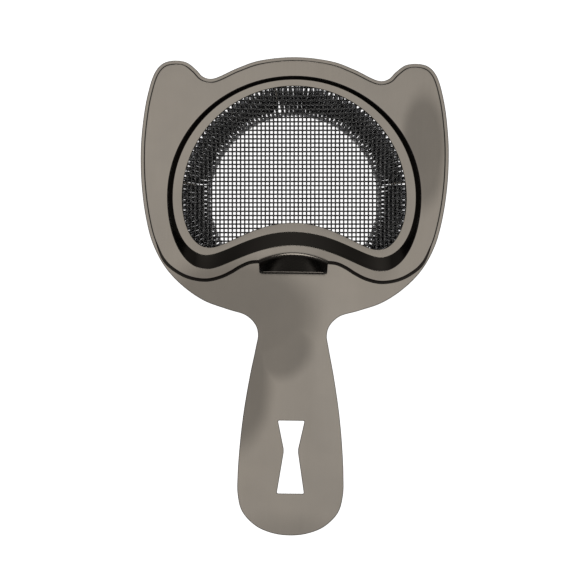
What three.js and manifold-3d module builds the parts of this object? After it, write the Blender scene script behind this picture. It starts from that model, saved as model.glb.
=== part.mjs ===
// Hawthorne strainer with a lift-out mesh plate. Millimetres, +Z up, +Y from the handle to the ears.
// The origin is the middle of the outline, at the height of the coil spring's lowest point.
import * as THREE from 'three';
import { mergeVertices } from 'three/addons/utils/BufferGeometryUtils.js';
import Module from 'manifold-3d';

const wasm = await Module();
wasm.setup();

// ---- Driving dimensions ----
const GAP = 0.3; // clearance between neighbouring pieces

const HANDLE_SHEET = 1.2; // thickness of the handle plate
const HEAD_SHEET = 1.0; // thickness of the mesh plate
const CLAMP_SHEET = 0.8; // thickness of the mesh clamp ring
const MESH_SHEET = 0.25; // solid sheet with the mass of the woven cloth
const MESH_DEPTH = 0.9; // depth of the woven cloth, two wires high

const WIRE = 1.0; // spring wire diameter
const COIL_RADIUS = 4.8; // up and down from the spring's centreline to the middle of its wire
const COIL_REACH = 5.05; // the same inward and outward: the turns are slightly oval
const COIL_PLAN_RADIUS = 35.1; // of the spring's centreline, seen from above
const COIL_SWEEP = 264; // degrees that the spring covers, round the front
const COIL_TURNS = 96;
const COIL_FACETS = 8; // straight pieces in one turn
const SPREAD_AT_CLIP = 1.5; // extra degrees between the two turns that a clip passes between
const LEAN = 0.9; // how far forward each turn's top leans, and how far back its bottom
const LEAN_SIDEWAYS = 0.22; // how much more than that the left side's turns lean, and the right side's less
const TAIL = 4.6; // straight length of wire past each end of the spring

const WELL_DEPTH = 3.6; // from the mesh plate's top face down to the ring round the mesh
const TAB_RISE = 6.4; // height of the finger tab above the plate
const MARGIN = 1.15; // strip of handle plate that shows round the mesh plate

const KIDNEY_STEPS = 10; // points on each curved stretch of a kidney outline
const OUTLINE_STEPS = 4; // points from one given point of a plate outline to the next
const TAB_STEPS = 6; // points on each half of the tab's bend

// ---- Heights, from the bottom up ----
const COIL_MIDDLE = COIL_RADIUS + WIRE / 2;
const COIL_TOP = 2 * COIL_MIDDLE;
const SEAT_BOTTOM = COIL_TOP + GAP; // the handle plate's inner ring
const SEAT_TOP = SEAT_BOTTOM + HANDLE_SHEET;
const CLAMP_BOTTOM = SEAT_TOP + GAP;
const CLAMP_TOP = CLAMP_BOTTOM + CLAMP_SHEET;
const MESH_MIDDLE = CLAMP_TOP + GAP + MESH_DEPTH / 2;
const RING_BOTTOM = MESH_MIDDLE + MESH_DEPTH / 2 + GAP; // the mesh plate's inner ring
const RING_TOP = RING_BOTTOM + HEAD_SHEET;
const HEAD_TOP = RING_TOP + WELL_DEPTH;
const HEAD_BOTTOM = HEAD_TOP - HEAD_SHEET;
const PLATE_TOP = HEAD_BOTTOM - GAP; // the handle plate
const PLATE_BOTTOM = PLATE_TOP - HANDLE_SHEET;

// ---- Kidney outlines of the strainer's mouth: the front is a round arc, the back a shallow wave ----
const MOUTH = { top: 74.0, wide: 39.45, wideY: 34.5, lobeX: 29.7, lobeY: 16.8, dip: 25.9 };
const RING = { top: 76.45, wide: 42.9, wideY: 34.85, lobeX: 30.5, lobeY: 14.15, dip: 22.75 };
const WELL = { top: 77.0, wide: 44.35, wideY: 35.0, lobeX: 30.5, lobeY: 9.15, dip: 17.75 };
const CENTRE_Y = MOUTH.wideY; // centre of the front arc and of the coil spring

function grown(kidney, by) {
  return {
    ...kidney,
    top: kidney.top + by,
    wide: kidney.wide + by,
    lobeY: kidney.lobeY - by,
    dip: kidney.dip - by,
  };
}

function kidneyPoints(kidney) {
  const { top, wide, wideY, lobeX, lobeY, dip } = kidney;
  const round = 0.5523; // control distance that makes a Bezier a quarter ellipse
  const sidePull = 0.55 * (wideY - lobeY);
  const lobePull = 0.6 * (wide - lobeX);
  const half = new THREE.Path();
  half.moveTo(0, top);
  half.bezierCurveTo(round * wide, top, wide, wideY + round * (top - wideY), wide, wideY);
  half.bezierCurveTo(wide, wideY - sidePull, lobeX + lobePull, lobeY, lobeX, lobeY);
  half.bezierCurveTo(0.8 * lobeX, lobeY, 0.47 * lobeX, dip, 0, dip);
  return mirrored(half.getPoints(KIDNEY_STEPS));
}

// The right half's points, from the axis at one end to the axis at the other, and the same on the left.
function mirrored(right) {
  const left = right.slice(1, -1).reverse().map((p) => new THREE.Vector2(-p.x, p.y));
  const loop = [...right, ...left];
  return THREE.ShapeUtils.area(loop) < 0 ? loop.reverse() : loop;
}

// ---- Outlines of the two plates, right half ----
const FRONT = [0, 84.0];
const EAR = [
  [13.3, 82.5], [20.5, 79.9], [29.5, 76.0], [32.6, 76.7], [35.0, 79.1], [38.4, 81.6], [42.4, 82.2],
  [46.4, 81.3], [49.3, 78.3], [52.0, 69.9], [53.7, 58.0], [54.1, 48.6],
];
const SHOULDER = [[53.6, 38.0], [52.0, 27.0], [49.6, 18.2], [45.2, 9.9], [39.0, 3.3], [31.3, -1.9], [22.9, -4.9]];
const NECK = [[16.3, -7.0], [13.0, -10.3], [12.1, -13.6], [12.8, -18.1]];
const PADDLE = [
  [14.8, -28.3], [16.8, -41.0], [18.0, -52.5], [18.6, -63.0], [18.5, -69.7], [16.9, -75.7],
  [12.0, -80.8], [6.0, -83.3],
];
const END = [0, -84.0];

const TAB_HALF_WIDTH = 12.1;
const TAB_ROOT = 14.7; // where the arc of the tab's bend crosses the axis
const TAB_FOOT = 11.4; // where that arc ends, at the tab's corners
const TAB_EDGE = 7.7; // the tab's free edge
const TAB_TAPER = 0.97; // the free edge's width as a share of the root's
const HEAD_BACK = [
  [45.7, 11.6], [41.4, 7.8], [36.5, 5.5], [30.5, 4.7], [25.2, 5.9], [21.3, 7.8], [18.2, 9.7], [15.0, 11.1],
];

function vectors(points) {
  return points.map(([x, y]) => new THREE.Vector2(x, y));
}

function leftOf([x, y]) {
  return [-x, y];
}

// A smooth curve through all but the first and last of the points, which only steer its ends.
function smoothLine(points) {
  const corners = points.map(([x, y]) => new THREE.Vector3(x, y, 0));
  const curve = new THREE.CatmullRomCurve3(corners, false, 'centripetal');
  const spans = points.length - 1;
  const line = [];
  for (let i = OUTLINE_STEPS; i <= (spans - 1) * OUTLINE_STEPS; i += 1) {
    const { x, y } = curve.getPoint(i / OUTLINE_STEPS / spans);
    line.push(new THREE.Vector2(x, y));
  }
  return line;
}

function handleHalf() {
  const points = [FRONT, ...EAR, ...SHOULDER, ...NECK, ...PADDLE, END];
  const right = smoothLine([leftOf(EAR[0]), ...points, leftOf(PADDLE.at(-1))]);
  right[0].x = 0;
  right.at(-1).x = 0;
  return right;
}

function handleOutline() {
  return mirrored(handleHalf());
}

// Each point of the head's outline, moved inward by the margin.
function inset(points, by) {
  return points.map((p, i) => {
    const before = points[Math.max(i - 1, 0)];
    const after = points[Math.min(i + 1, points.length - 1)];
    const along = after.clone().sub(before).normalize();
    return new THREE.Vector2(p.x + along.y * by, p.y - along.x * by);
  });
}

function tabArc(x) {
  const rise = TAB_ROOT - TAB_FOOT;
  const radius = (TAB_HALF_WIDTH ** 2 + rise ** 2) / (2 * rise);
  return TAB_ROOT - radius + Math.sqrt(radius ** 2 - x ** 2);
}

function headOutline() {
  const rimEnd = (EAR.length + 3) * OUTLINE_STEPS; // the head is drawn in as far as the third shoulder point
  const rim = inset(handleHalf(), MARGIN).slice(0, rimEnd + 1);
  rim[0].set(0, FRONT[1] - MARGIN);
  const corner = [TAB_HALF_WIDTH, TAB_FOOT];
  const beyond = [TAB_HALF_WIDTH - 4, TAB_FOOT];
  const steer = [rim.at(-3), rim.at(-1)].map((p) => [p.x, p.y]);
  const back = smoothLine([...steer, ...HEAD_BACK, corner, beyond]);
  const root = [];
  for (let i = 1; i <= TAB_STEPS; i += 1) {
    const x = TAB_HALF_WIDTH * (1 - i / TAB_STEPS);
    root.push(new THREE.Vector2(x, tabArc(x)));
  }
  return mirrored([...rim, ...back.slice(1), ...root]);
}

// The hourglass slot that the strainer hangs by.
function slotPoints() {
  return mirrored(vectors([[0, -43.7], [4.67, -43.7], [2.53, -53.6], [2.53, -55.0], [4.76, -69.3], [0, -69.3]]));
}

// ---- Solids ----
function closedMesh(positions, index) {
  const geometry = new THREE.BufferGeometry();
  geometry.setAttribute('position', new THREE.Float32BufferAttribute(positions, 3));
  geometry.setIndex(index);
  return mergeVertices(geometry, 1e-4);
}

// A sheet with an outline, plain holes through it, and a formed dish. The dish is a list of closed
// loops of equal length, from the sheet's top face, down and round its inner edge, to its bottom face.
// Where fold gives two points for a stretch of the outline, the sheet is bent up and ends there.
function formedSheet(outline, holes, dish, top, bottom, fold = () => null) {
  const positions = [];
  const index = [];
  const addPoint = (x, y, z) => positions.push(x, y, z) / 3 - 1;
  const addLoop = (points, z) => points.map((p) => addPoint(p.x, p.y, z));
  const quad = (a, b, c, d) => index.push(a, b, c, a, c, d);
  const band = (lower, upper) => {
    lower.forEach((_, i) => {
      const j = (i + 1) % lower.length;
      quad(lower[i], lower[j], upper[j], upper[i]);
    });
  };
  const face = (openings, z, up) => {
    const corners = addLoop([outline, ...openings].flat(), z);
    THREE.ShapeUtils.triangulateShape(outline, openings).forEach(([a, b, c]) => {
      index.push(corners[a], corners[up ? b : c], corners[up ? c : b]);
    });
  };
  const rim = () => {
    const upper = addLoop(outline, top);
    const lower = addLoop(outline, bottom);
    const folded = outline.map((p) => fold(p)?.map((corner) => addPoint(...corner)));
    outline.forEach((_, i) => {
      const j = (i + 1) % outline.length;
      const [from, to] = [folded[i], folded[j]];
      if (from && to) {
        quad(from[0], to[0], upper[j], upper[i]);
        quad(from[1], to[1], to[0], from[0]);
        quad(lower[i], lower[j], to[1], from[1]);
        return;
      }
      quad(lower[i], lower[j], upper[j], upper[i]);
      if (to) {
        quad(upper[j], lower[j], to[1], to[0]);
      }
      if (from) {
        quad(lower[i], upper[i], from[0], from[1]);
      }
    });
  };
  const clockwise = holes.map((hole) => [...hole].reverse());
  const rings = dish.map(({ kidney, z }) => ({ points: kidneyPoints(kidney).reverse(), z }));
  face([...clockwise, ...rings.slice(0, 1).map((ring) => ring.points)], top, true);
  face([...clockwise, ...rings.slice(-1).map((ring) => ring.points)], bottom, false);
  rim();
  clockwise.forEach((loop) => band(addLoop(loop, bottom), addLoop(loop, top)));
  rings.slice(1).forEach((ring, i) => {
    band(addLoop(ring.points, ring.z), addLoop(rings[i].points, rings[i].z));
  });
  return closedMesh(positions, index);
}

// A flat kidney-shaped ring or sheet.
function kidneySheet(outer, inner, bottom, thickness) {
  const shape = new THREE.Shape(kidneyPoints(outer));
  if (inner) {
    shape.holes.push(new THREE.Path(kidneyPoints(inner)));
  }
  const geometry = new THREE.ExtrudeGeometry(shape, { depth: thickness, bevelEnabled: false });
  geometry.translate(0, 0, bottom);
  return geometry;
}

function toManifold(geometry) {
  const bare = geometry.clone();
  bare.deleteAttribute('normal');
  bare.deleteAttribute('uv');
  const merged = mergeVertices(bare, 1e-4);
  return new wasm.Manifold(new wasm.Mesh({
    numProp: 3,
    vertProperties: new Float32Array(merged.attributes.position.array),
    triVerts: new Uint32Array(merged.index.array),
  }));
}

function toGeometry(manifold) {
  const mesh = manifold.getMesh();
  const geometry = new THREE.BufferGeometry();
  geometry.setAttribute('position', new THREE.BufferAttribute(new Float32Array(mesh.vertProperties), 3));
  geometry.setIndex(new THREE.BufferAttribute(new Uint32Array(mesh.triVerts), 1));
  return geometry;
}

function joined(...geometries) {
  return toGeometry(geometries.map(toManifold).reduce((all, next) => all.add(next)));
}

function cut(geometry, tool) {
  return toGeometry(toManifold(geometry).subtract(toManifold(tool)));
}

// A box given by its lowest and highest corners.
function block(low, high) {
  const size = high.map((value, i) => value - low[i]);
  const geometry = new THREE.BoxGeometry(...size);
  geometry.translate(low[0] + size[0] / 2, low[1] + size[1] / 2, low[2] + size[2] / 2);
  return geometry;
}

// Turns a piece made at the spring's centreline angle 0 (radius along +X, forward along +Y) to its place.
function placedAt(geometry, degrees) {
  geometry.rotateZ(THREE.MathUtils.degToRad(degrees));
  geometry.translate(0, CENTRE_Y, 0);
  return geometry;
}

// ---- Pieces ----
const WALL_SHIFT = 0.8; // how far the underside of a formed wall lies outside its top side
const SEAT_CLEARANCE = 0.5; // between the two plates' formed walls, seen from above

function handlePlate() {
  const dish = [
    { kidney: grown(WELL, WALL_SHIFT + SEAT_CLEARANCE), z: PLATE_TOP },
    { kidney: grown(RING, SEAT_CLEARANCE), z: SEAT_TOP },
    { kidney: grown(MOUTH, 0.4), z: SEAT_TOP },
    { kidney: grown(MOUTH, 0.4), z: SEAT_BOTTOM },
    { kidney: grown(RING, WALL_SHIFT + SEAT_CLEARANCE), z: SEAT_BOTTOM },
    { kidney: grown(WELL, 2 * WALL_SHIFT + SEAT_CLEARANCE), z: PLATE_BOTTOM },
  ];
  return formedSheet(handleOutline(), [slotPoints()], dish, PLATE_TOP, PLATE_BOTTOM);
}

function meshPlate() {
  const dish = [
    { kidney: WELL, z: HEAD_TOP },
    { kidney: RING, z: RING_TOP },
    { kidney: MOUTH, z: RING_TOP },
    { kidney: MOUTH, z: RING_BOTTOM },
    { kidney: grown(RING, WALL_SHIFT), z: RING_BOTTOM },
    { kidney: grown(WELL, WALL_SHIFT), z: HEAD_BOTTOM },
  ];
  return formedSheet(headOutline(), [], dish, HEAD_TOP, HEAD_BOTTOM, tabFold);
}

// The finger tab rises from an arc on the plate's back edge to a straight free edge. This gives the
// free edge's upper and lower corner for a point of the outline, or null away from the tab.
function tabFold(point) {
  if (Math.abs(point.x) > TAB_HALF_WIDTH + 0.01 || point.y > TAB_ROOT + 0.01) {
    return null;
  }
  const lean = HEAD_SHEET * Math.SQRT1_2; // the sheet's thickness, split between back and down
  const x = point.x * TAB_TAPER;
  return [
    new THREE.Vector3(x, TAB_EDGE + lean, HEAD_TOP + TAB_RISE),
    new THREE.Vector3(x, TAB_EDGE, HEAD_TOP + TAB_RISE - lean),
  ];
}

function clampRing() {
  return kidneySheet(grown(RING, -GAP), grown(MOUTH, 0.2), CLAMP_BOTTOM, CLAMP_SHEET);
}

function meshCloth() {
  return kidneySheet(grown(RING, -GAP), null, MESH_MIDDLE - MESH_SHEET / 2, MESH_SHEET);
}

// ---- The coil spring and what holds it ----
const CLIP_TURNS = { right: 18, front: 51, left: 77 }; // turns before each clip's finger
const OUTER_SIDE = 0.25; // share of a turn, from its top, at which the wire is on the outer side
const FINGER_PHASE = 0.18; // share of a turn at which the wire is level with a clip's finger
const UPRIGHT_TURN = 47.5; // round here, at the front, the turns stand straighter
const UPRIGHT_REACH = 1.5; // turns on either side that do
const COIL_START = 90 - COIL_SWEEP / 2;

// Degrees round the centreline after so many turns: even turns, spread a little at each clip.
function coilAngle(turns) {
  const clips = Object.values(CLIP_TURNS);
  const even = (COIL_SWEEP - SPREAD_AT_CLIP * clips.length) / COIL_TURNS;
  const passed = clips.map((before) => THREE.MathUtils.clamp(turns - before - OUTER_SIDE, 0, 1));
  const spread = SPREAD_AT_CLIP * passed.reduce((sum, share) => sum + share);
  return COIL_START + even * turns + spread;
}

// How far a turn leans: the first and last turns hardly do, and those at the front half as much.
function lean(turns) {
  const fromEnds = Math.min(1, turns / 2, (COIL_TURNS - turns) / 2);
  const upright = 0.5 * Math.exp(-(((turns - UPRIGHT_TURN) / UPRIGHT_REACH) ** 2));
  const here = LEAN - LEAN_SIDEWAYS * Math.cos(THREE.MathUtils.degToRad(coilAngle(turns)));
  return here * fromEnds * (1 - upright);
}

// A point of the coil at a turn count, so far outside the middle of the wire and so far along past it.
// 0 turns is the coil's top.
function coilPoint(turns, outside, along) {
  const phase = 2 * Math.PI * turns;
  const out = COIL_PLAN_RADIUS + Math.sin(phase) * (COIL_REACH + outside);
  const forward = along + lean(turns) * Math.cos(phase);
  const angle = THREE.MathUtils.degToRad(coilAngle(turns));
  return new THREE.Vector3(
    out * Math.cos(angle) - forward * Math.sin(angle),
    CENTRE_Y + out * Math.sin(angle) + forward * Math.cos(angle),
    COIL_MIDDLE + Math.cos(phase) * (COIL_RADIUS + outside),
  );
}

// Degrees round the centreline of the middle of the gap that a clip's finger passes through.
function clipAngle(before) {
  const sides = [before + FINGER_PHASE, before + 1 + FINGER_PHASE].map((turns) => {
    const point = coilPoint(turns, 0, 0);
    return Math.atan2(point.y - CENTRE_Y, point.x);
  });
  const [first, second] = sides.map((angle) => (angle < -Math.PI / 2 ? angle + 2 * Math.PI : angle));
  return THREE.MathUtils.radToDeg((first + second) / 2);
}

function coilSpring() {
  const half = WIRE / 2;
  const sides = [[half, half], [half, -half], [-half, -half], [-half, half]];
  const positions = [];
  const index = [];
  const steps = COIL_TURNS * COIL_FACETS;
  const stations = [{ turns: 0, along: -TAIL }];
  for (let i = 0; i <= steps; i += 1) {
    stations.push({ turns: i / COIL_FACETS, along: 0 });
  }
  stations.push({ turns: COIL_TURNS, along: TAIL });
  stations.forEach(({ turns, along }) => {
    sides.forEach(([outward, forward]) => {
      positions.push(...coilPoint(turns, outward, along + forward * 0.9));
    });
  });
  for (let i = 0; i + 1 < stations.length; i += 1) {
    for (let side = 0; side < 4; side += 1) {
      const a = 4 * i + side;
      const b = 4 * i + ((side + 1) % 4);
      index.push(a, b, b + 4, a, b + 4, a + 4);
    }
  }
  const last = 4 * (stations.length - 1);
  index.push(0, 2, 1, 0, 3, 2, last, last + 1, last + 2, last, last + 2, last + 3);
  return closedMesh(positions, index);
}

// A bent clip under the inner ring. Its finger passes between two turns and holds the coil up.
function springClip(degrees) {
  const leg = [6.0, 6.8].map((shift) => COIL_PLAN_RADIUS + shift);
  const fingerHeight = [6.4, 8.2];
  const top = SEAT_BOTTOM - GAP;
  const foot = block([leg[0], -2, top - 0.8], [leg[0] + 3.0, 2, top]);
  const drop = block([leg[0], -2, fingerHeight[0]], [leg[1], 2, top]);
  const finger = block([COIL_PLAN_RADIUS - 0.4, -0.4, fingerHeight[0]], [leg[1], 0.4, fingerHeight[1]]);
  return placedAt(joined(foot, drop, finger), degrees);
}

// A bracket under the flange, with a hole that the spring's tail passes through.
function springAnchor(degrees, backward) {
  const [inner, tip, shelf, outer] = [-2.7, 3.1, 6.5, 7.7].map((shift) => COIL_PLAN_RADIUS + shift);
  const top = PLATE_BOTTOM - GAP;
  const web = new THREE.Shape(vectors([
    [inner, 5.5], [tip, 5.5], [outer, 10.0], [outer, top], [shelf, top], [shelf, 12.4], [inner, 12.4],
  ]));
  const plate = new THREE.ExtrudeGeometry(web, { depth: 1.2, bevelEnabled: false });
  plate.rotateX(Math.PI / 2);
  plate.translate(0, 0.6, 0);
  const footEnds = backward > 0 ? [-0.6, 4.0] : [-4.0, 0.6];
  const foot = block([shelf, footEnds[0], top - 1.0], [shelf + 3.2, footEnds[1], top]);
  const tail = COIL_MIDDLE + COIL_RADIUS;
  const hole = block(
    [COIL_PLAN_RADIUS - 0.9, -2, tail - 0.9],
    [COIL_PLAN_RADIUS + 0.9, 2, tail + 0.9],
  );
  return placedAt(cut(joined(plate, foot), hole), degrees);
}

// ---- The assembly ----
const GUNMETAL = { color: 0x8a8279, roughness: 0.28, metalness: 1 };
const DARK_STEEL = { color: 0x3a3a3d, roughness: 0.35, metalness: 1 };

const strainer = new THREE.Group();

function addPiece(name, geometry, finish) {
  const mesh = new THREE.Mesh(geometry, new THREE.MeshStandardMaterial(finish));
  mesh.name = name;
  strainer.add(mesh);
}

const ANCHOR_BEYOND = 4.4; // degrees from the spring's last turn to its anchor

addPiece('handle_plate', handlePlate(), GUNMETAL);
addPiece('mesh_plate', meshPlate(), GUNMETAL);
addPiece('mesh_cloth', meshCloth(), DARK_STEEL);
addPiece('mesh_clamp_ring', clampRing(), GUNMETAL);
addPiece('coil_spring', coilSpring(), DARK_STEEL);
addPiece('spring_anchor_right', springAnchor(COIL_START - ANCHOR_BEYOND, -1), GUNMETAL);
addPiece('spring_anchor_left', springAnchor(COIL_START + COIL_SWEEP + ANCHOR_BEYOND, 1), GUNMETAL);
Object.entries(CLIP_TURNS).forEach(([side, before]) => {
  addPiece(`spring_clip_${side}`, springClip(clipAngle(before)), GUNMETAL);
});

export default strainer;
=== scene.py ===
"""Looks of the hawthorne strainer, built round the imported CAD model.

Outlines and sizes are in millimetres, in the CAD frame, and become metres when a mesh is made.
+Y runs from the handle to the ears, +X to the right seen from above, and +Z up out of the mesh.
"""

import math

import bmesh
import bpy
import numpy as np
from mathutils import Matrix, Vector, geometry


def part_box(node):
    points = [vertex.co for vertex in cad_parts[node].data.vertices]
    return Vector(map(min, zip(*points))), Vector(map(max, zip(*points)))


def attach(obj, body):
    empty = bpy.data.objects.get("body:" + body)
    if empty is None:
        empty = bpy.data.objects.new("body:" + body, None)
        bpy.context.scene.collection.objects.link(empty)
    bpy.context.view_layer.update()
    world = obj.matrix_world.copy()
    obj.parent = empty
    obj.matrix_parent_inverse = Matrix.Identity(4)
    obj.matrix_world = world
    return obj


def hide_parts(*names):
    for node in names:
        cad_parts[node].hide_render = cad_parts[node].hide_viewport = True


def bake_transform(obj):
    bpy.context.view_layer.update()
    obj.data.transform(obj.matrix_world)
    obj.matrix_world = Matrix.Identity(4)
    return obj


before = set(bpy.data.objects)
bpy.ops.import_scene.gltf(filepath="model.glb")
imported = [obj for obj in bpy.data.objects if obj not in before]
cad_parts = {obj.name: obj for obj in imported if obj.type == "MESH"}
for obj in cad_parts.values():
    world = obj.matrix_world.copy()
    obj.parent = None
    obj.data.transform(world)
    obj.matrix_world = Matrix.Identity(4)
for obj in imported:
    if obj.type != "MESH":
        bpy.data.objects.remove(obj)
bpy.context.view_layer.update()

MM = 0.001


# ---- Heights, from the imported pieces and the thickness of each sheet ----
def height_range(node):
    low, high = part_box(node)
    return low.z / MM, high.z / MM


HANDLE_SHEET = 1.2
HEAD_SHEET = 1.0
WELL_DEPTH = 3.6
GAP = 0.3  # clearance between neighbouring pieces

SEAT_BOTTOM, PLATE_TOP = height_range("handle_plate")
RING_BOTTOM, TAB_TOP = height_range("mesh_plate")
CLAMP_BOTTOM, CLAMP_TOP = height_range("mesh_clamp_ring")
COIL_TOP = height_range("coil_spring")[1]
MESH_MIDDLE = sum(height_range("mesh_cloth")) / 2
SEAT_TOP = SEAT_BOTTOM + HANDLE_SHEET
PLATE_BOTTOM = PLATE_TOP - HANDLE_SHEET
RING_TOP = RING_BOTTOM + HEAD_SHEET
HEAD_TOP = RING_TOP + WELL_DEPTH
HEAD_BOTTOM = HEAD_TOP - HEAD_SHEET

# ---- Kidney outlines: the front is a round arc, the back a shallow wave ----
MOUTH = {"top": 74.0, "wide": 39.45, "wide_y": 34.5, "lobe_x": 29.7, "lobe_y": 16.8, "dip": 25.9}
RING = {"top": 76.45, "wide": 42.9, "wide_y": 34.85, "lobe_x": 30.5, "lobe_y": 14.15, "dip": 22.75}
WELL = {"top": 77.0, "wide": 44.35, "wide_y": 35.0, "lobe_x": 30.5, "lobe_y": 9.15, "dip": 17.75}
CENTRE_Y = MOUTH["wide_y"]
KIDNEY_STEPS = 36  # points on each curved stretch
QUARTER = 0.5523  # control distance that makes a Bezier a quarter of an ellipse
SIDE_PULL = 0.55  # how full the kidney's sides and lobes are
LOBE_PULL = 0.6
WALL_SHIFT = 0.8  # how far the underside of a formed wall lies outside its top side
SEAT_CLEARANCE = 0.5  # between the two plates' formed walls, seen from above
SEAT_MOUTH = 0.4  # how much wider the handle plate's opening is than the mesh plate's
CLAMP_MOUTH = 0.2  # the same of the clamp ring's

# ---- Outlines of the two plates, right half, from the front round to the handle's end ----
OUTLINE_STEPS = 10  # points from one given point to the next
FRONT = (0, 84.0)
EAR = [
    (13.3, 82.5), (20.5, 79.9), (29.5, 76.0), (32.6, 76.7), (35.0, 79.1), (38.4, 81.6),
    (42.4, 82.2), (46.4, 81.3), (49.3, 78.3), (52.0, 69.9), (53.7, 58.0), (54.1, 48.6),
]
SHOULDER = [
    (53.6, 38.0), (52.0, 27.0), (49.6, 18.2), (45.2, 9.9), (39.0, 3.3), (31.3, -1.9), (22.9, -4.9),
]
NECK = [(16.3, -7.0), (13.0, -10.3), (12.1, -13.6), (12.8, -18.1)]
PADDLE = [
    (14.8, -28.3), (16.8, -41.0), (18.0, -52.5), (18.6, -63.0), (18.5, -69.7), (16.9, -75.7),
    (12.0, -80.8), (6.0, -83.3),
]
END = (0, -84.0)
HEAD_BACK = [
    (45.7, 11.6), (41.4, 7.8), (36.5, 5.5), (30.5, 4.7), (25.2, 5.9), (21.3, 7.8), (18.2, 9.7), (15.0, 11.1),
]
RIM_POINTS = OUTLINE_STEPS * (len(EAR) + 3)  # as far as this the mesh plate follows the handle plate
MARGIN = 1.15  # strip of handle plate that shows round the mesh plate
SLOT = [(4.67, -43.7), (2.53, -53.6), (2.53, -55.0), (4.76, -69.3)]
SLOT_CORNER = 0.4

TAB_HALF_WIDTH = 12.1
TAB_ROOT = 14.7  # where the arc of the tab's bend crosses the axis
TAB_FOOT = 11.4  # where that arc ends, at the tab's corners
TAB_EDGE = 7.7  # the tab's free edge
TAB_TAPER = 0.97  # the free edge's width as a share of the root's
TAB_CORNER = 1.4  # radius of the free edge's corners
TAB_BEND = 2.4  # inner radius of the tab's bend
TAB_STRIP = 1.1  # strip of the mesh plate that is made with the tab, at its middle
TAB_STATIONS = 15  # places across half of the tab
BESIDE_FALL = 0.65  # strip of flat that is made with the plate's edge

# ---- Rounding of the sheets ----
EDGE_ROUND = 0.22  # of a cut edge
RIM_FALL = (0.36, 0.36)  # width and depth that the mesh plate's upper edge falls away by, round the head
BACK_FALL = (1.15, 0.62)  # the same along the wavy back
FALL_TOP = 0.3  # radius where that slope leaves the flat
FALL_FOOT = 0.1  # radius where it meets the cut edge
WELL_EDGE = 0.45  # where the flat turns down into the well
RING_CORNER = 0.25  # where the well's wall meets its ring
HOLD = 0.15  # flat strip kept beside a rounding, so that the flats shade exactly flat
HOLD_FROM = 0.75  # share of a rounding's radius at which that strip starts
ARC_STEPS = 5
MERGE_WITHIN = 0.002  # vertices closer together than this become one
SHORTEST_EDGE = 0.0005

# ---- Woven mesh and spring ----
MESH_PITCH = (1.455, 1.504)
MESH_TURN = math.radians(0.76)  # how far the cloth lies turned in its ring
MESH_WIRE = 0.58
MESH_STEPS = 3  # straight pieces of a wire from one crossing to the next
MESH_SIDES = 6
WIRE = 1.0
WIRE_SIDES = 10
COIL_RADIUS = 4.8  # up and down from the spring's centreline to the middle of its wire
COIL_REACH = 5.05  # the same inward and outward: the turns are slightly oval
COIL_PLAN_RADIUS = 35.1  # of the spring's centreline, seen from above
COIL_SWEEP = 264  # degrees that the spring covers, round the front
COIL_TURNS = 96
COIL_FACETS = 22  # straight pieces in one turn
COIL_MIDDLE = COIL_TOP / 2
COIL_START = 90 - COIL_SWEEP / 2
CLIP_TURNS = {"right": 18, "front": 51, "left": 77}  # turns before each clip's finger
SPREAD_AT_CLIP = 1.5  # extra degrees between the two turns that a clip passes between
OUTER_SIDE = 0.25  # share of a turn, from its top, at which the wire is on the outer side
FINGER_PHASE = 0.18  # share of a turn at which the wire is level with a clip's finger
LEAN = 0.9  # how far forward each turn's top leans, and how far back its bottom
LEAN_SIDEWAYS = 0.22  # how much more than that the left side's turns lean, and the right side's less
UPRIGHT_TURN = 47.5  # round here, at the front, the turns stand straighter
UPRIGHT_REACH = 1.5  # turns on either side that do
TAIL = 4.6  # straight length of wire past each end of the spring
TAIL_HOOK = 1.3  # radius of the bend at its end
TAIL_DROP = 1.2  # straight length below that bend

CLIP_SHEET = 0.8
CLIP_LEG = 6.0  # from the spring's centreline out to the clip's leg
CLIP_FOOT = 3.0  # length of the clip's foot, with the leg's thickness
CLIP_HALF_WIDTH = 2.0
CLIP_BENDS = (1.1, 0.35)  # outer and inner radius
FINGER_LOW, FINGER_HIGH = 6.4, 8.2
FINGER_HALF = 0.4  # half its width, and how far it reaches past the centreline and into the leg

ANCHOR_BEYOND = 4.4  # degrees from the spring's last turn to its anchor
ANCHOR_SHEET = 1.2
ANCHOR_SHIFTS = (-2.7, 3.1, 6.5, 7.7)  # its inner side, tip, shelf and outer side, from the centreline
ANCHOR_HEIGHTS = (5.5, 10.0, 12.4)  # its bottom, the top of its slope and its shelf
ANCHOR_FOOT = (3.2, 1.0)  # length and thickness
ANCHOR_FOOT_SIDE = 4.0  # how far the foot reaches to one side
TAIL_HOLE = 0.8  # radius
TAIL_HOLE_SIDES = 24


# ---- Curves ----
def bezier(points, steps):
    """Points along a cubic Bezier, without its last one."""
    p0, p1, p2, p3 = (np.array(p, float) for p in points)
    t = (np.arange(steps) / steps)[:, None]
    return (1 - t) ** 3 * p0 + 3 * t * (1 - t) ** 2 * p1 + 3 * t**2 * (1 - t) * p2 + t**3 * p3


def mirrored(right):
    """A closed loop from its right half, whose first and last points are on the axis."""
    right = np.asarray(right, float)
    left = right[-2:0:-1] * (-1, 1)
    return np.vstack([right, left])


def grown(kidney, by):
    shifts = {"top": by, "wide": by, "lobe_y": -by, "dip": -by}
    return {name: value + shifts.get(name, 0) for name, value in kidney.items()}


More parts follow.
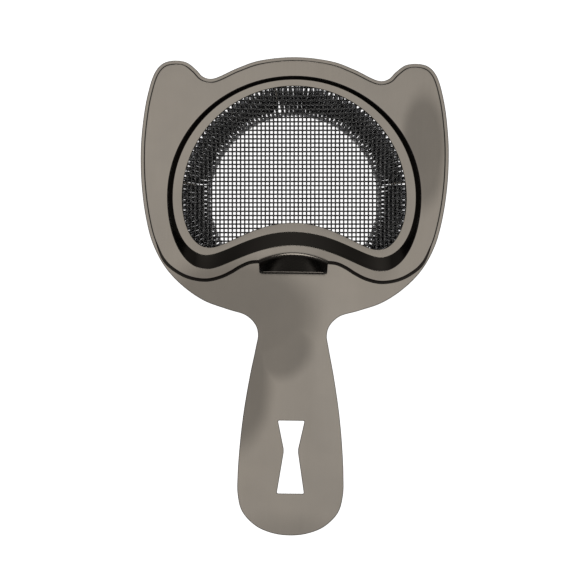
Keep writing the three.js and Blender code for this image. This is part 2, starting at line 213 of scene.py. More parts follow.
def kidney_loop(kidney):
    top, wide, wide_y, lobe_x, lobe_y, dip = kidney.values()
    side_pull = SIDE_PULL * (wide_y - lobe_y)
    lobe_pull = LOBE_PULL * (wide - lobe_x)
    front = [(0, top), (QUARTER * wide, top), (wide, wide_y + QUARTER * (top - wide_y)), (wide, wide_y)]
    side = [(wide, wide_y), (wide, wide_y - side_pull), (lobe_x + lobe_pull, lobe_y), (lobe_x, lobe_y)]
    back = [(lobe_x, lobe_y), (0.8 * lobe_x, lobe_y), (0.47 * lobe_x, dip), (0, dip)]
    right = [bezier(part, KIDNEY_STEPS) for part in (front, side, back)]
    return mirrored(np.vstack([*right, [(0, dip)]]))


def smooth_segment(p0, p1, p2, p3, steps):
    """Centripetal Catmull-Rom from p1 to p2, without its last point."""
    d0, d1, d2 = (math.sqrt(np.linalg.norm(b - a)) for a, b in ((p0, p1), (p1, p2), (p2, p3)))
    start = ((p1 - p0) / d0 - (p2 - p0) / (d0 + d1) + (p2 - p1) / d1) * d1
    end = ((p2 - p1) / d1 - (p3 - p1) / (d1 + d2) + (p3 - p2) / d2) * d1
    return bezier([p1, p1 + start / 3, p2 - end / 3, p2], steps)


def smooth_line(points, steps=OUTLINE_STEPS):
    """A smooth curve through all but the first and last of the points, which only steer its ends."""
    points = [np.array(p, float) for p in points]
    parts = [smooth_segment(*points[i:i + 4], steps) for i in range(len(points) - 3)]
    return np.vstack([*parts, [points[-2]]])


def left_of(point):
    return (-point[0], point[1])


def handle_half():
    points = [FRONT, *EAR, *SHOULDER, *NECK, *PADDLE, END]
    return smooth_line([left_of(EAR[0]), *points, left_of(PADDLE[-1])])


def loop_normals(loop):
    """Unit normals that point to the outside of a loop that runs clockwise."""
    along = np.roll(loop, -1, 0) - np.roll(loop, 1, 0)
    along /= np.linalg.norm(along, axis=1)[:, None]
    return np.stack([-along[:, 1], along[:, 0]], 1)


def tab_arc(x):
    rise = TAB_ROOT - TAB_FOOT
    radius = (TAB_HALF_WIDTH**2 + rise**2) / (2 * rise)
    return TAB_ROOT - radius + math.sqrt(radius**2 - x**2)


def head_half():
    """The mesh plate's outline up to the tab's corner: the handle's, drawn in, then the wavy back."""
    handle = mirrored(handle_half())
    inner = handle - loop_normals(handle) * MARGIN
    rim = inner[: RIM_POINTS + 1]
    corner = (TAB_HALF_WIDTH, TAB_FOOT)
    before, past_corner = rim[-6], (TAB_HALF_WIDTH - 4, TAB_FOOT)  # these two only steer the ends
    back = smooth_line([before, rim[-1], *HEAD_BACK, corner, past_corner])
    return np.vstack([rim, back[1:]])


def tab_stations():
    """Places across the tab from its corner to the middle, closer together at the rounded corner."""
    turn = [math.radians(a) for a in range(0, 91, 15)]
    corner = [TAB_HALF_WIDTH - TAB_CORNER * (1 - math.cos(a)) for a in turn]
    return [*corner, *np.linspace(corner[-1], 0, TAB_STATIONS)[1:]]


# ---- Meshes ----
def rounded(points, radii):
    """A 3-D polyline with its inner corners turned into arcs of those radii."""
    line = [points[0]]
    for before, corner, after, radius in zip(points, points[1:], points[2:], radii):
        back = (before - corner) / np.linalg.norm(before - corner)
        onward = (after - corner) / np.linalg.norm(after - corner)
        half = math.acos(max(-1.0, min(1.0, float(back @ onward)))) / 2
        reach = radius / math.tan(half)
        start, end = corner + back * reach, corner + onward * reach
        for t in np.linspace(0, 1, ARC_STEPS + 1):
            weights = np.array([(1 - t) ** 2, 2 * t * (1 - t) * math.sin(half), t * t])
            line.append((weights @ [start, corner, end]) / weights.sum())
    line.append(points[-1])
    return np.array(line)


def ring_of_columns(levels, radii):
    """A closed band of rounded columns. Each level is a loop of 3-D points, all of one length."""
    return np.array([rounded(list(column), radii) for column in zip(*levels)])


def at_height(loop, z):
    return np.column_stack([loop, np.full(len(loop), z)])


def in_material(points, loops):
    """Whether each point is inside the first loop and outside the others: an odd number of crossings."""
    crossed = np.zeros(len(points), int)
    for loop in loops:
        for a, b in zip(loop, np.roll(loop, -1, 0)):
            spans = (a[1] > points[:, 1]) != (b[1] > points[:, 1])
            if spans.any():
                at = a[0] + (points[:, 1] - a[1]) / (b[1] - a[1]) * (b[0] - a[0])
                crossed += spans & (points[:, 0] < at)
    return crossed % 2 == 1


class Builder:
    """Collects vertices and faces in millimetres, and makes one clean object of them."""

    def __init__(self):
        self.points = []
        self.faces = []

    def add(self, points, faces):
        first = len(self.points)
        self.points.extend(map(tuple, points))
        self.faces.extend([first + i for i in face] for face in faces)

    def band(self, columns):
        """Quads between neighbouring columns all the way round."""
        count, high = columns.shape[:2]
        faces = []
        for i in range(count):
            j = (i + 1) % count
            for k in range(high - 1):
                faces.append((i * high + k, i * high + k + 1, j * high + k + 1, j * high + k))
        self.add(columns.reshape(-1, 3), faces)

    def flat(self, loops):
        """The flat face inside the first loop and outside the others."""
        points, edges = [], []
        for loop in loops:
            first = len(points)
            points += [Vector(p[:2]) for p in loop]
            edges += [(first + i, first + (i + 1) % len(loop)) for i in range(len(loop))]
        within_outline = 1
        corners, _, triangles, *_ = geometry.delaunay_2d_cdt(points, edges, [], within_outline, 1e-7)
        corners = np.array([tuple(p) for p in corners])
        kept = in_material(corners[np.array(triangles)].mean(axis=1), loops)
        self.add(at_height(corners, loops[0][0][2]), np.array(triangles)[kept].tolist())

    def tube(self, path, radius, sides):
        """A round wire along a path, closed at both ends."""
        path = np.asarray(path, float)
        along = np.gradient(path, axis=0)
        along /= np.linalg.norm(along, axis=1)[:, None]
        turn = np.linspace(0, 2 * math.pi, sides, endpoint=False)[:, None]
        not_along = (0.3, 0.2, 1.0)  # a direction that no wire runs in
        side = np.cross(along[0], not_along)
        points = []
        for centre, direction in zip(path, along):
            side = side - direction * (side @ direction)
            side /= np.linalg.norm(side)
            other = np.cross(direction, side)
            points.extend(centre + radius * (np.cos(turn) * side + np.sin(turn) * other))
        faces = [tuple(reversed(range(sides)))]
        last = len(points) - sides
        for ring in range(0, last, sides):
            for i in range(sides):
                j = (i + 1) % sides
                faces.append((ring + i, ring + j, ring + sides + j, ring + sides + i))
        faces.append(tuple(range(last, last + sides)))
        self.add(points, faces)

    def object(self, name, sharp_angle=40):
        mesh = bpy.data.meshes.new(name)
        mesh.from_pydata(self.points, [], self.faces)
        work = bmesh.new()
        work.from_mesh(mesh)
        bmesh.ops.remove_doubles(work, verts=work.verts, dist=MERGE_WITHIN)
        bmesh.ops.dissolve_degenerate(work, edges=work.edges, dist=SHORTEST_EDGE)
        bmesh.ops.recalc_face_normals(work, faces=work.faces)
        bmesh.ops.scale(work, vec=(MM, MM, MM), verts=work.verts)
        work.to_mesh(mesh)
        work.free()
        mesh.shade_smooth()
        mesh.set_sharp_from_angle(angle=math.radians(sharp_angle))
        made = bpy.data.objects.new(name, mesh)
        bpy.context.scene.collection.objects.link(made)
        return made


# ---- Sheets ----
def edge_columns(loop, into, top, bottom, rounding):
    """The cut edge round an outline or a hole. into points from the edge into the material."""
    inner = loop + into * (rounding + HOLD)
    levels = [at_height(inner, top), at_height(loop, top), at_height(loop, bottom), at_height(inner, bottom)]
    return ring_of_columns(levels, [rounding, rounding])


def dish_columns(profile, radii):
    """The formed well. profile is a list of (kidney, height), from the top face round to the underside."""
    loops = [at_height(kidney_loop(kidney), z) for kidney, z in profile]
    outward = np.column_stack([loop_normals(loops[0][:, :2]), np.zeros(len(loops[0]))])
    top_hold = loops[0] + outward * (radii[0] * HOLD_FROM + HOLD)
    bottom_hold = loops[-1] + outward * (radii[-1] * HOLD_FROM + HOLD)
    return ring_of_columns([top_hold, *loops, bottom_hold], radii)


def slot_loop():
    corners = [*SLOT, *[left_of(p) for p in reversed(SLOT)]]
    points = [np.array([x, y, 0.0]) for x, y in corners]
    closed = [points[-1], *points, points[0]]
    return rounded(closed, [SLOT_CORNER] * len(points))[1:-1, :2]


def handle_sheet():
    made = Builder()
    outline = mirrored(handle_half())
    edge = edge_columns(outline, -loop_normals(outline), PLATE_TOP, PLATE_BOTTOM, EDGE_ROUND)
    slot = slot_loop()
    slot_edge = edge_columns(slot, loop_normals(slot), PLATE_TOP, PLATE_BOTTOM, EDGE_ROUND)
    outside = WALL_SHIFT + SEAT_CLEARANCE
    dish = dish_columns(
        [
            (grown(WELL, outside), PLATE_TOP),
            (grown(RING, SEAT_CLEARANCE), SEAT_TOP),
            (grown(MOUTH, SEAT_MOUTH), SEAT_TOP),
            (grown(MOUTH, SEAT_MOUTH), SEAT_BOTTOM),
            (grown(RING, outside), SEAT_BOTTOM),
            (grown(WELL, outside + WALL_SHIFT), PLATE_BOTTOM),
        ],
        [WELL_EDGE, RING_CORNER, EDGE_ROUND, EDGE_ROUND, WELL_EDGE, RING_CORNER],
    )
    for columns in (edge, slot_edge, dish):
        made.band(columns)
    for level in (0, -1):
        made.flat([edge[:, level], slot_edge[:, level], dish[:, level]])
    return made.object("handle_sheet")


def plate_edge_column(point, into, fall):
    """One column of the mesh plate's own edge. It has as many points as one of the tab has."""
    def inside(distance, z):
        return np.array([*(point + into * distance), z])
    width, depth = fall
    strip = width + BESIDE_FALL
    line = [
        inside(strip, HEAD_TOP),
        inside(width, HEAD_TOP),
        inside(0.0, HEAD_TOP - depth),
        inside(0.0, HEAD_BOTTOM),
        inside((strip + EDGE_ROUND) / 2, HEAD_BOTTOM),
        inside(strip, HEAD_BOTTOM),
    ]
    return rounded(line, [FALL_TOP, FALL_FOOT, EDGE_ROUND, EDGE_ROUND])


def tab_column(x):
    """One column of the tab, from the plate's top face up to the free edge and back underneath."""
    root = np.array([x, tab_arc(abs(x)), HEAD_TOP])
    lean = HEAD_SHEET * math.sqrt(0.5)
    rise = TAB_TOP - HEAD_TOP
    edge = np.array([x * TAB_TAPER, TAB_EDGE + lean, HEAD_TOP + rise])
    length = np.linalg.norm(edge - root)
    from_end = TAB_HALF_WIDTH - abs(x)
    if from_end < TAB_CORNER:
        short = TAB_CORNER - math.sqrt(TAB_CORNER**2 - (TAB_CORNER - from_end) ** 2)
        edge = edge + (root - edge) * short / length
    corner_strip = BACK_FALL[0] + BESIDE_FALL
    strip = np.array([0, TAB_STRIP + (corner_strip - TAB_STRIP) * (x / TAB_HALF_WIDTH) ** 2, 0])
    sheet = np.array([0, 0, HEAD_SHEET])
    line = [root + strip, root, edge, edge - (0, lean, lean), root - sheet, root - sheet + strip]
    return rounded(line, [TAB_BEND, EDGE_ROUND, EDGE_ROUND, TAB_BEND])


def head_edge():
    """All columns of the mesh plate's edge, round the rim, along the back and over the tab."""
    half = head_half()
    stations = tab_stations()
    arc = np.array([(x, tab_arc(x)) for x in stations])
    right = np.vstack([half, arc[1:]])
    loop = mirrored(right)
    into = -loop_normals(loop)
    corner = len(half) - 1
    into[corner] = (0, 1)
    columns = []
    for i in range(len(right)):
        if i <= corner:
            along_back = min(1, max(0, (i - RIM_POINTS) / OUTLINE_STEPS))
            fall = np.array(RIM_FALL) * (1 - along_back) + np.array(BACK_FALL) * along_back
            columns.append(plate_edge_column(right[i], into[i], fall))
        if i >= corner:
            columns.append(tab_column(right[i][0]))
    left = [column * (-1, 1, 1) for column in reversed(columns[1:-1])]
    return np.array([*columns, *left])


def mesh_plate_sheet():
    made = Builder()
    edge = head_edge()
    dish = dish_columns(
        [
            (WELL, HEAD_TOP),
            (RING, RING_TOP),
            (MOUTH, RING_TOP),
            (MOUTH, RING_BOTTOM),
            (grown(RING, WALL_SHIFT), RING_BOTTOM),
            (grown(WELL, WALL_SHIFT), HEAD_BOTTOM),
        ],
        [WELL_EDGE, RING_CORNER, EDGE_ROUND, EDGE_ROUND, WELL_EDGE, RING_CORNER],
    )
    made.band(edge)
    made.band(dish)
    for level in (0, -1):
        made.flat([edge[:, level], dish[:, level]])
    return made.object("mesh_plate_sheet")


def clamp_ring():
    made = Builder()
    outer = kidney_loop(grown(RING, -GAP))
    inner = kidney_loop(grown(MOUTH, CLAMP_MOUTH))
    outer_edge = edge_columns(outer, -loop_normals(outer), CLAMP_TOP, CLAMP_BOTTOM, EDGE_ROUND)
    inner_edge = edge_columns(inner, loop_normals(inner), CLAMP_TOP, CLAMP_BOTTOM, EDGE_ROUND)
    made.band(outer_edge)
    made.band(inner_edge)
    for level in (0, -1):
        made.flat([outer_edge[:, level], inner_edge[:, level]])
    return made.object("clamp_ring_sheet")


# ---- Woven mesh ----
def crossings(loop, axis, value):
    """Where a straight line, with one coordinate fixed, crosses a closed loop, in order."""
    other = 1 - axis
    after = np.roll(loop, -1, 0)
    crossed = (loop[:, axis] > value) != (after[:, axis] > value)
    a, b = loop[crossed], after[crossed]
    share = (value - a[:, axis]) / (b[:, axis] - a[:, axis])
    return sorted(a[:, other] + share * (b[:, other] - a[:, other]))


def woven_mesh():
    """Plain weave: each wire goes over one and under the next, cut to the ring that grips it."""
    made = Builder()
    cos, sin = math.cos(MESH_TURN), math.sin(MESH_TURN)
    turn = np.array([[cos, -sin], [sin, cos]])
    border = (kidney_loop(grown(RING, -GAP)) - (0, CENTRE_Y)) @ turn
    end_room = 0.3  # least distance, in steps, between a wire's end and its next point
    for axis in (0, 1):
        pitch, along_pitch = MESH_PITCH[axis], MESH_PITCH[1 - axis]
        reach = int(np.abs(border[:, axis]).max() / pitch)
        for k in range(-reach, reach + 1):
            ends = crossings(border, axis, k * pitch)
            over = (-1) ** (k + axis)
            for low, high in zip(ends[0::2], ends[1::2]):
                step = along_pitch / MESH_STEPS
                first = math.ceil(low / step + end_room)
                last = math.floor(high / step - end_room)
                along = np.array([low, *np.arange(first, last + 1) * step, high])
                z = MESH_MIDDLE + over * MESH_WIRE / 2 * np.cos(math.pi * along / along_pitch)
                flat = np.empty((len(along), 2))
                flat[:, axis] = k * pitch
                flat[:, 1 - axis] = along
                flat = flat @ turn.T + (0, CENTRE_Y)
                made.tube(np.column_stack([flat, z]), MESH_WIRE / 2, MESH_SIDES)
    return made.object("woven_mesh", sharp_angle=70)


# ---- Coil spring and what holds it ----
def coil_angle(turns):
    """Degrees round the centreline after so many turns: even turns, spread a little at each clip."""
    even = (COIL_SWEEP - SPREAD_AT_CLIP * len(CLIP_TURNS)) / COIL_TURNS
    passed = [min(1, max(0, turns - before - OUTER_SIDE)) for before in CLIP_TURNS.values()]
    return COIL_START + even * turns + SPREAD_AT_CLIP * sum(passed)


def lean(turns):
    """How far a turn leans: the first and last turns hardly do, and those at the front half as much."""
    from_ends = min(1, turns / 2, (COIL_TURNS - turns) / 2)
    upright = 0.5 * math.exp(-(((turns - UPRIGHT_TURN) / UPRIGHT_REACH) ** 2))
    here = LEAN - LEAN_SIDEWAYS * math.cos(math.radians(coil_angle(turns)))
    return here * from_ends * (1 - upright)


def coil_point(turns, along=0.0, drop=0.0):
    phase = 2 * math.pi * turns
    out = COIL_PLAN_RADIUS + math.sin(phase) * COIL_REACH
    forward = along + lean(turns) * math.cos(phase)
    angle = math.radians(coil_angle(turns))
    return (
        out * math.cos(angle) - forward * math.sin(angle),
        CENTRE_Y + out * math.sin(angle) + forward * math.cos(angle),
        COIL_MIDDLE + math.cos(phase) * COIL_RADIUS - drop,
    )


def clip_angle(before):
    """Degrees round the centreline of the middle of the gap that a clip's finger passes through."""
    sides = []
    for turns in (before + FINGER_PHASE, before + 1 + FINGER_PHASE):
        x, y, _ = coil_point(turns)
        angle = math.atan2(y - CENTRE_Y, x)
        sides.append(angle + 2 * math.pi if angle < -math.pi / 2 else angle)
    return math.degrees(sum(sides) / 2)


def tail_path(turns, sign):
    """The straight end of the wire past its anchor, turned down into a hook, from the coil outward."""
    bend_start = TAIL - TAIL_HOOK
    first_point = 0.6  # past the coil's end
    path = [coil_point(turns, sign * along) for along in np.linspace(first_point, bend_start, 5)]
    for a in range(15, 91, 15):
        angle = math.radians(a)
        along = bend_start + TAIL_HOOK * math.sin(angle)
        path.append(coil_point(turns, sign * along, TAIL_HOOK * (1 - math.cos(angle))))
    path.append(coil_point(turns, sign * TAIL, TAIL_HOOK + TAIL_DROP))
    return path


def coil_spring():
    made = Builder()
    turns = np.arange(COIL_TURNS * COIL_FACETS + 1) / COIL_FACETS
    coil = [coil_point(t) for t in turns]
    path = [*reversed(tail_path(0, -1)), *coil, *tail_path(COIL_TURNS, 1)]
    made.tube(path, WIRE / 2, WIRE_SIDES)
    return made.object("spring_coil")


def prism(profile, low, high):
    """A block whose side view is a closed profile of (radius, height), from low to high across."""
    made = Builder()
    count = len(profile)
    points = [(r, across, z) for across in (low, high) for r, z in profile]
    faces = [(i, (i + 1) % count, count + (i + 1) % count, count + i) for i in range(count)]
    faces += [tuple(range(count)), tuple(range(count, 2 * count))]
    made.add(points, faces)
    return made.object("part")


def rectangle(low, high):
    return [(low[0], low[1]), (high[0], low[1]), (high[0], high[1]), (low[0], high[1])]


def combined(first, second, operation):
    """first with second added or cut away. second is used up."""
    change = first.modifiers.new("combine", "BOOLEAN")
    change.operation = operation
    change.solver = "EXACT"
    change.object = second
    apply_modifiers(first)
    bpy.data.objects.remove(second)
    return first


def apply_modifiers(made):
    bpy.context.view_layer.update()
    graph = bpy.context.evaluated_depsgraph_get()
    mesh = bpy.data.meshes.new_from_object(made.evaluated_get(graph))
    made.modifiers.clear()
    made.data = mesh


def finished_bracket(made, name, degrees, bevel):
    """Rounds the edges of a bracket and turns it to its place round the spring."""
    made.name = name
    soft = made.modifiers.new("round", "BEVEL")
    soft.width = bevel * MM
    soft.segments = 3
    soft.limit_method = "ANGLE"
    soft.angle_limit = math.radians(30)
    apply_modifiers(made)
    turn = Matrix.Rotation(math.radians(degrees), 4, "Z")
    made.data.transform(Matrix.Translation((0, CENTRE_Y * MM, 0)) @ turn)
    made.data.shade_smooth()
    made.data.set_sharp_from_angle(angle=math.radians(40))
    return made


def turned_corner(corner, before, after, radius):
    """Points of the arc that rounds one corner of a side view."""
    line = rounded([np.array([*p, 0.0]) for p in (before, corner, after)], [radius])
    return [tuple(p[:2]) for p in line[1:-1]]


def spring_clip(name, degrees):
    """A bent strip under the inner ring, with a finger that passes between two turns."""
    leg_in = COIL_PLAN_RADIUS + CLIP_LEG
    leg_out = leg_in + CLIP_SHEET
    foot_out = leg_in + CLIP_FOOT
    top = SEAT_BOTTOM - GAP
    under = top - CLIP_SHEET
    outer_bend, inner_bend = CLIP_BENDS
    strip = [
        *turned_corner((leg_in, top), (leg_in, FINGER_LOW), (foot_out, top), outer_bend),
        (foot_out, top),
        (foot_out, under),
        *turned_corner((leg_out, under), (foot_out, under), (leg_out, FINGER_LOW), inner_bend),
        (leg_out, FINGER_LOW),
        (leg_in, FINGER_LOW),
    ]
    made = prism(strip, -CLIP_HALF_WIDTH, CLIP_HALF_WIDTH)
    side_view = rectangle((COIL_PLAN_RADIUS - FINGER_HALF, FINGER_LOW), (leg_in + FINGER_HALF, FINGER_HIGH))
    finger = prism(side_view, -FINGER_HALF, FINGER_HALF)
    return finished_bracket(combined(made, finger, "UNION"), name, degrees, 0.12)


def spring_anchor(name, degrees, backward):
    """A bracket under the flange, with a hole that the spring's tail passes through."""
    top = PLATE_BOTTOM - GAP
    inner, tip, shelf, outer = (COIL_PLAN_RADIUS + shift for shift in ANCHOR_SHIFTS)
    bottom, slope, ledge = ANCHOR_HEIGHTS
    web = [
        (inner, bottom), (tip, bottom), (outer, slope), (outer, top), (shelf, top), (shelf, ledge),
        (inner, ledge),
    ]
    half = ANCHOR_SHEET / 2
    made = prism(web, -half, half)
    ends = (-half, ANCHOR_FOOT_SIDE) if backward > 0 else (-ANCHOR_FOOT_SIDE, half)
    foot_length, foot_sheet = ANCHOR_FOOT
    foot = prism(rectangle((shelf, top - foot_sheet), (shelf + foot_length, top)), *ends)
    made = combined(made, foot, "UNION")
    turn = np.linspace(0, 2 * math.pi, TAIL_HOLE_SIDES, endpoint=False)
    radii = COIL_PLAN_RADIUS + TAIL_HOLE * np.cos(turn)
    heights = COIL_MIDDLE + COIL_RADIUS + TAIL_HOLE * np.sin(turn)
    hole = list(zip(radii, heights))
    made = combined(made, prism(hole, -2 * ANCHOR_SHEET, 2 * ANCHOR_SHEET), "DIFFERENCE")
    return finished_bracket(made, name, degrees, 0.14)


# ---- Materials ----
class Nodes:
    """Short forms for building a material or world node tree."""

    def __init__(self, owner):
        owner.use_nodes = True
        self.tree = owner.node_tree
        self.tree.nodes.clear()

    def node(self, kind, inputs=None, **settings):
        made = self.tree.nodes.new(kind)
        for name, value in settings.items():
            setattr(made, name, value)
        for name, value in (inputs or {}).items():
            self.feed(made.inputs[name], value)
        return made

    def feed(self, socket, value):
        if isinstance(value, bpy.types.NodeSocket):
            self.tree.links.new(value, socket)
        else:
            socket.default_value = value

    def noise(self, vector, scale, detail=3.0, roughness=0.5):
        found = self.node(
            "ShaderNodeTexNoise",
            {"Vector": vector, "Scale": scale, "Detail": detail, "Roughness": roughness},
        )
        return found.outputs["Fac"]

    def stretched(self, vector, scale):
        mapped = self.node("ShaderNodeMapping", {"Vector": vector, "Scale": scale})
        return mapped.outputs["Vector"]

    def spread(self, value, low, high):
        """Maps noise, which is mostly between 0.3 and 0.7, to a range."""
        inputs = {"Value": value, "From Min": 0.3, "From Max": 0.7, "To Min": low, "To Max": high}
        return self.node("ShaderNodeMapRange", inputs).outputs["Result"]

    def blend_colours(self, share, first, second):
        mix = self.node("ShaderNodeMix", data_type="RGBA")
        self.feed(mix.inputs["Factor"], share)
        self.feed(mix.inputs[6], first)
        self.feed(mix.inputs[7], second)
        return mix.outputs[2]

    def math(self, operation, *values):
        made = self.node("ShaderNodeMath", operation=operation)
        for socket, value in zip(made.inputs, values):
            self.feed(socket, value)
        return made.outputs[0]

    def sum(self, first, second):
        return self.math("ADD", first, second)

    def product(self, first, second):
        return self.math("MULTIPLY", first, second)

    def dimmed(self, colour, share):
        scaled = self.node("ShaderNodeVectorMath", {0: colour, "Scale": share}, operation="SCALE")
        return scaled.outputs["Vector"]

    def painted_reflection_patch(self, place, drift, centre, reach, change):
        """Painted reflection: the change of tone in an oval patch with a soft, slightly wandering edge."""
        middle = [MM * c for c in centre]
        shares = [1 / (MM * r) for r in reach]
        moved = self.node("ShaderNodeVectorMath", {0: place, 1: middle}, operation="SUBTRACT")
        scaled = self.node(
            "ShaderNodeVectorMath", {0: moved.outputs["Vector"], 1: shares}, operation="MULTIPLY"
        )
        away = self.node("ShaderNodeVectorMath", {0: scaled.outputs["Vector"]}, operation="LENGTH")
        inputs = {
            "Value": self.sum(away.outputs["Value"], self.product(drift, REFLECTION_PATCH_WANDER)),
            "From Min": REFLECTION_PATCH_CORE,
            "From Max": REFLECTION_PATCH_END,
            "To Min": change,
            "To Max": 0.0,
        }
        return self.node("ShaderNodeMapRange", inputs, interpolation_type="SMOOTHSTEP").outputs["Result"]

    def steep_faces_painted_dark(self, least):
        """Painted shade: 1 on level faces, falling to least on steep ones, so that walls and bends are
        painted nearly black in place of their dark reflections.
        """
        normal = self.node("ShaderNodeNewGeometry").outputs["Normal"]
        upward = self.node("ShaderNodeSeparateXYZ", {"Vector": normal}).outputs["Z"]
        inputs = {
            "Value": self.math("ABSOLUTE", upward),
            "From Min": 0.8,
            "From Max": 0.985,
            "To Min": least,
            "To Max": 1.0,
        }
        return self.node("ShaderNodeMapRange", inputs).outputs["Result"]

    def bump(self, height, distance, strength, normal=None):
        inputs = {"Height": height, "Distance": distance, "Strength": strength}
        if normal is not None:
            inputs["Normal"] = normal
        return self.node("ShaderNodeBump", inputs).outputs["Normal"]


# Painted reflections: where the plating is painted duller, and where brighter, in place of reflections:
# centre and reach in millimetres, change of tone.
REFLECTION_PATCH_CORE, REFLECTION_PATCH_END = 0.6, 1.05  # shares of the reach: full inside the first, gone past the second
REFLECTION_PATCH_WANDER = 0.02
ALL_HEIGHTS = 1000.0
PAINTED_DARK_REFLECTIONS = [
    ((45, 52, HEAD_TOP), (9, 24, 1), -0.34),
    ((20, 11, HEAD_TOP), (18, 12, 1), -0.13),
    ((-20, -6, 0), (33, 22, ALL_HEIGHTS), -0.37),
    ((-4, -18, 0), (13, 13, ALL_HEIGHTS), -0.33),
    ((-19, -30, 0), (13.5, 27, ALL_HEIGHTS), -0.39),
    ((0, -92, 0), (34, 18, ALL_HEIGHTS), -0.14),
]
PAINTED_BRIGHT_REFLECTIONS = [
    ((17, -26, 0), (11, 40, ALL_HEIGHTS), 0.05),
    ((-44, 66, 0), (46, 34, ALL_HEIGHTS), 0.06),
]


def plated_steel():
    """Polished gunmetal plating over pressed sheet: soft reflections, faint polishing lines, painted
    reflections in soft patches and painted shade on steep faces.
    """
    made = bpy.data.materials.new("plated_steel")
    n = Nodes(made)
    place = n.node("ShaderNodeTexCoord").outputs["Object"]
    mottle = n.spread(n.noise(place, 28.0), 0.0, 1.0)
    tint = n.blend_colours(mottle, (0.301, 0.267, 0.227, 1), (0.281, 0.253, 0.219, 1))
    drift = n.spread(n.noise(place, 40.0, detail=2.0), -2.5, 2.5)
    tone = 0.0
    # Soft patches of painted reflection make the plating darker or lighter.
    for centre, reach, change in PAINTED_DARK_REFLECTIONS:
        tone = n.math("MINIMUM", tone, n.painted_reflection_patch(place, drift, centre, reach, change))
    tone = n.sum(tone, 1.0)
    for centre, reach, change in PAINTED_BRIGHT_REFLECTIONS:
        tone = n.sum(tone, n.painted_reflection_patch(place, drift, centre, reach, change))
    # The plating is dimmed by the painted reflections and by painted shade on steep faces.
    tint = n.dimmed(tint, n.product(tone, n.steep_faces_painted_dark(0.1)))
    lines = n.noise(n.stretched(place, (2600.0, 60.0, 900.0)), 1.0, detail=2.0)
    smudges = n.noise(place, 75.0, detail=5.0, roughness=0.65)
    roughness = n.sum(n.spread(lines, -0.012, 0.012), n.spread(smudges, 0.16, 0.21))
    wave = n.bump(n.noise(place, 22.0, detail=1.0), 0.0006, 0.3)
    grain = n.bump(lines, 0.00001, 0.12, wave)
    shader = n.node(
        "ShaderNodeBsdfPrincipled",
        {"Base Color": tint, "Metallic": 1.0, "Roughness": roughness, "Normal": grain},
    )
    n.node("ShaderNodeOutputMaterial", {"Surface": shader.outputs["BSDF"]})
    return made


def dark_wire(name, light, dark, roughness):
    """Plated wire: darker than the sheet, with fine drawing marks."""
    made = bpy.data.materials.new(name)
    n = Nodes(made)
    place = n.node("ShaderNodeTexCoord").outputs["Object"]
    patches = n.spread(n.noise(place, 140.0, detail=4.0), 0.0, 1.0)
    tint = n.blend_colours(patches, (*light, 1), (*dark, 1))
    marks = n.noise(place, 2400.0, detail=2.0)
    rough = n.spread(marks, roughness - 0.05, roughness + 0.06)
    shader = n.node(
        "ShaderNodeBsdfPrincipled",
        {
            "Base Color": tint,
            "Metallic": 1.0,
            "Roughness": rough,
            "Normal": n.bump(marks, 0.00001, 0.2),
        },
    )
    n.node("ShaderNodeOutputMaterial", {"Surface": shader.outputs["BSDF"]})
    return made


def mesh_wire():
    return dark_wire("mesh_wire", (0.19, 0.186, 0.182), (0.125, 0.123, 0.12), 0.2)


def spring_wire():
    # Nearly black: the wire's darker plating, deepened with painted shade that stands in for the shadow
    # under the mesh.
    return dark_wire("spring_wire", (0.05, 0.05, 0.055), (0.03, 0.03, 0.034), 0.32)


def white_table():
    """A pale table lit from within, which keeps the ground white with hardly a shadow."""
    made = bpy.data.materials.new("white_table")
    n = Nodes(made)
    shader = n.node(
        "ShaderNodeBsdfPrincipled",
        {
            "Base Color": (0.9, 0.9, 0.9, 1),
            "Roughness": 0.9,
            "Emission Color": (1, 1, 1, 1),
            "Emission Strength": 1.0,
        },
    )
    n.node("ShaderNodeOutputMaterial", {"Surface": shader.outputs["BSDF"]})
    return made


# ---- Pieces on their bodies ----
def dress(made, material, slot, body, *nodes):
    made.data.materials.clear()
    made.data.materials.append(material)
    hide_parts(*nodes)
    if body:
        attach(made, body)
    return made


def build_pieces():
    steel = plated_steel()
    dress(handle_sheet(), steel, "plated_steel", "handle_body", "handle_plate")
    dress(mesh_plate_sheet(), steel, "plated_steel", "mesh_insert", "mesh_plate")
    dress(clamp_ring(), steel, "plated_steel", "mesh_insert", "mesh_clamp_ring")
    dress(woven_mesh(), mesh_wire(), "mesh_wire", "mesh_insert", "mesh_cloth")
    spring = dress(coil_spring(), spring_wire(), "spring_wire", None, "coil_spring")
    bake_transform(spring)
    for side, before in CLIP_TURNS.items():
        clip = spring_clip(f"clip_{side}", clip_angle(before))
        dress(clip, steel, "plated_steel", "handle_body", f"spring_clip_{side}")
    ends = {
        "right": (COIL_START - ANCHOR_BEYOND, -1),
        "left": (COIL_START + COIL_SWEEP + ANCHOR_BEYOND, 1),
    }
    for side, (angle, backward) in ends.items():
        anchor = spring_anchor(f"anchor_{side}", angle, backward)
        dress(anchor, steel, "plated_steel", "handle_body", f"spring_anchor_{side}")


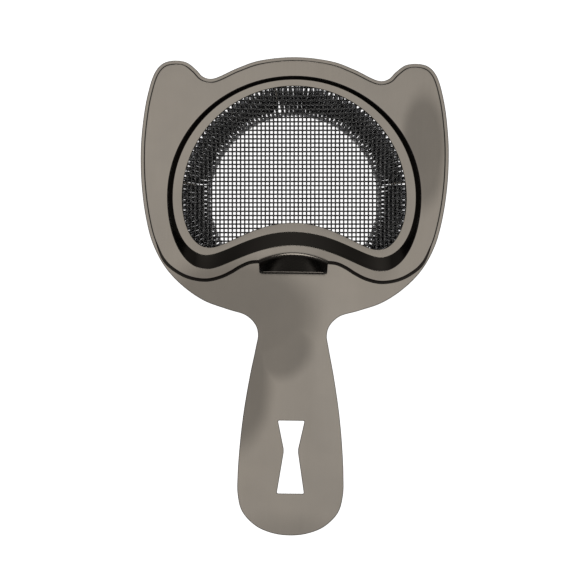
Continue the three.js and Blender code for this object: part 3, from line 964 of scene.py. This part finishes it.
# ---- Stage ----
def floor():
    made = Builder()
    half = 3000.0
    below_spring = 0.2
    made.add([(-half, -half, 0), (half, -half, 0), (half, half, 0), (-half, half, 0)], [(0, 1, 2, 3)])
    plane = made.object("table")
    plane.data.materials.append(white_table())
    plane.location.z = -below_spring * MM


def studio_sky():
    """A soft dome: bright overhead, dark half way up and grey near the horizon."""
    world = bpy.data.worlds.new("studio")
    bpy.context.scene.world = world
    n = Nodes(world)
    direction = n.node("ShaderNodeTexCoord").outputs["Generated"]
    split = n.node("ShaderNodeSeparateXYZ", {"Vector": direction})
    ramp = n.node("ShaderNodeValToRGB", {"Fac": split.outputs["Z"]})
    # Upward part of the direction, and brightness.
    stops = [(0.0, 0.36), (0.4, 0.27), (0.58, 0.02), (0.93, 0.06), (0.965, 0.75), (1.0, 1.0)]
    elements = ramp.color_ramp.elements
    elements[0].position, elements[1].position = stops[0][0], stops[-1][0]
    for position, _ in stops[1:-1]:
        elements.new(position)
    for element, (position, level) in zip(elements, stops):
        element.position = position
        element.color = (level, level, level, 1)
    background = n.node("ShaderNodeBackground", {"Color": ramp.outputs["Color"], "Strength": 1.0})
    n.node("ShaderNodeOutputWorld", {"Surface": background.outputs["Background"]})


def area_light(name, place, size, watts):
    data = bpy.data.lights.new(name, "AREA")
    data.shape = "DISK"
    data.size = size
    data.energy = watts
    light = bpy.data.objects.new(name, data)
    light.location = place
    light.rotation_euler = (-Vector(place)).to_track_quat("-Z", "Y").to_euler()
    bpy.context.scene.collection.objects.link(light)


def camera():
    height_above_plate = 0.75
    field_across = 0.205  # of the view, at the plate
    aside, ahead = -0.00034, 0.0015
    turn = math.radians(0.76)
    data = bpy.data.cameras.new("camera")
    data.sensor_width = 36.0
    data.lens = data.sensor_width * height_above_plate / field_across
    made = bpy.data.objects.new("camera", data)
    made.location = (aside, ahead, PLATE_TOP * MM + height_above_plate)
    made.rotation_euler = (0, 0, turn)
    bpy.context.scene.collection.objects.link(made)
    bpy.context.scene.camera = made


camera()
build_pieces()
floor()
studio_sky()
area_light("front_glint", place=(0.05, 0.85, 0.85), size=0.4, watts=1.2)
bpy.context.scene.view_settings.view_transform = "Standard"
